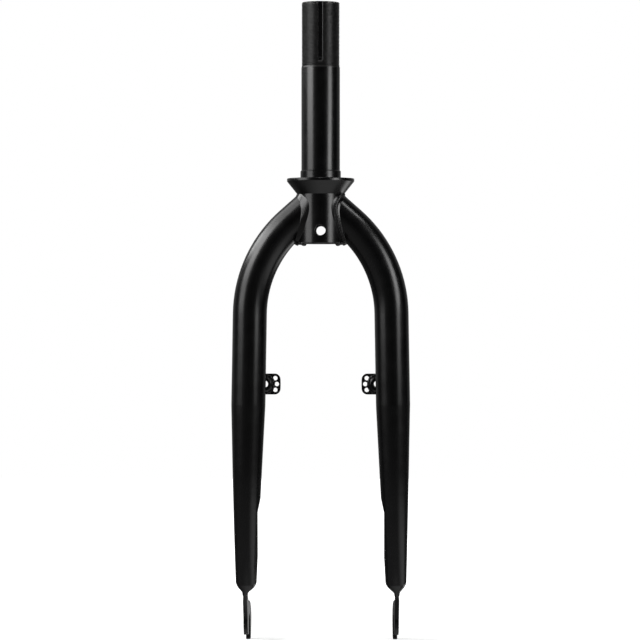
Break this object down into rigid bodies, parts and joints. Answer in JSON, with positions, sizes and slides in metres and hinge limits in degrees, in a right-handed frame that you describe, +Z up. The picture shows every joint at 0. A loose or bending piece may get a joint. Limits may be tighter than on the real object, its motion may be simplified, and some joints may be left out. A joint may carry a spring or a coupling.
{
  "type": "rigid bicycle fork",
  "caption": "Welded rigid bicycle fork with a threaded steerer, flared race collar, bent and tapered legs, slotted dropouts and rim brake posts, painted black.",
  "frame": {"origin": "on the steerer's axis, in the face of the collar that the crown race rests on", "axes": "+Z up the steerer, +Y to the front of the bicycle, +X to the rider's right"},
  "size_m": [0.1328, 0.0726, 0.4762],
  "materials": {
    "black_paint": "satin gloss",
    "weld_paint": "satin gloss"
  },
  "bodies": {
    "root": {"steerer_tube": "black_paint", "race_collar": "black_paint", "crown_sleeve": "black_paint", "steerer_weld": "weld_paint", "left_leg": "black_paint", "right_leg": "black_paint", "left_dropout": "black_paint", "right_dropout": "black_paint", "left_brake_post": "black_paint", "right_brake_post": "black_paint", "left_brake_plate": "black_paint", "right_brake_plate": "black_paint", "left_crown_weld": "weld_paint", "right_crown_weld": "weld_paint", "left_tip_weld": "weld_paint", "right_tip_weld": "weld_paint", "left_post_weld": "weld_paint", "right_post_weld": "weld_paint"}
  },
  "joints": []
}
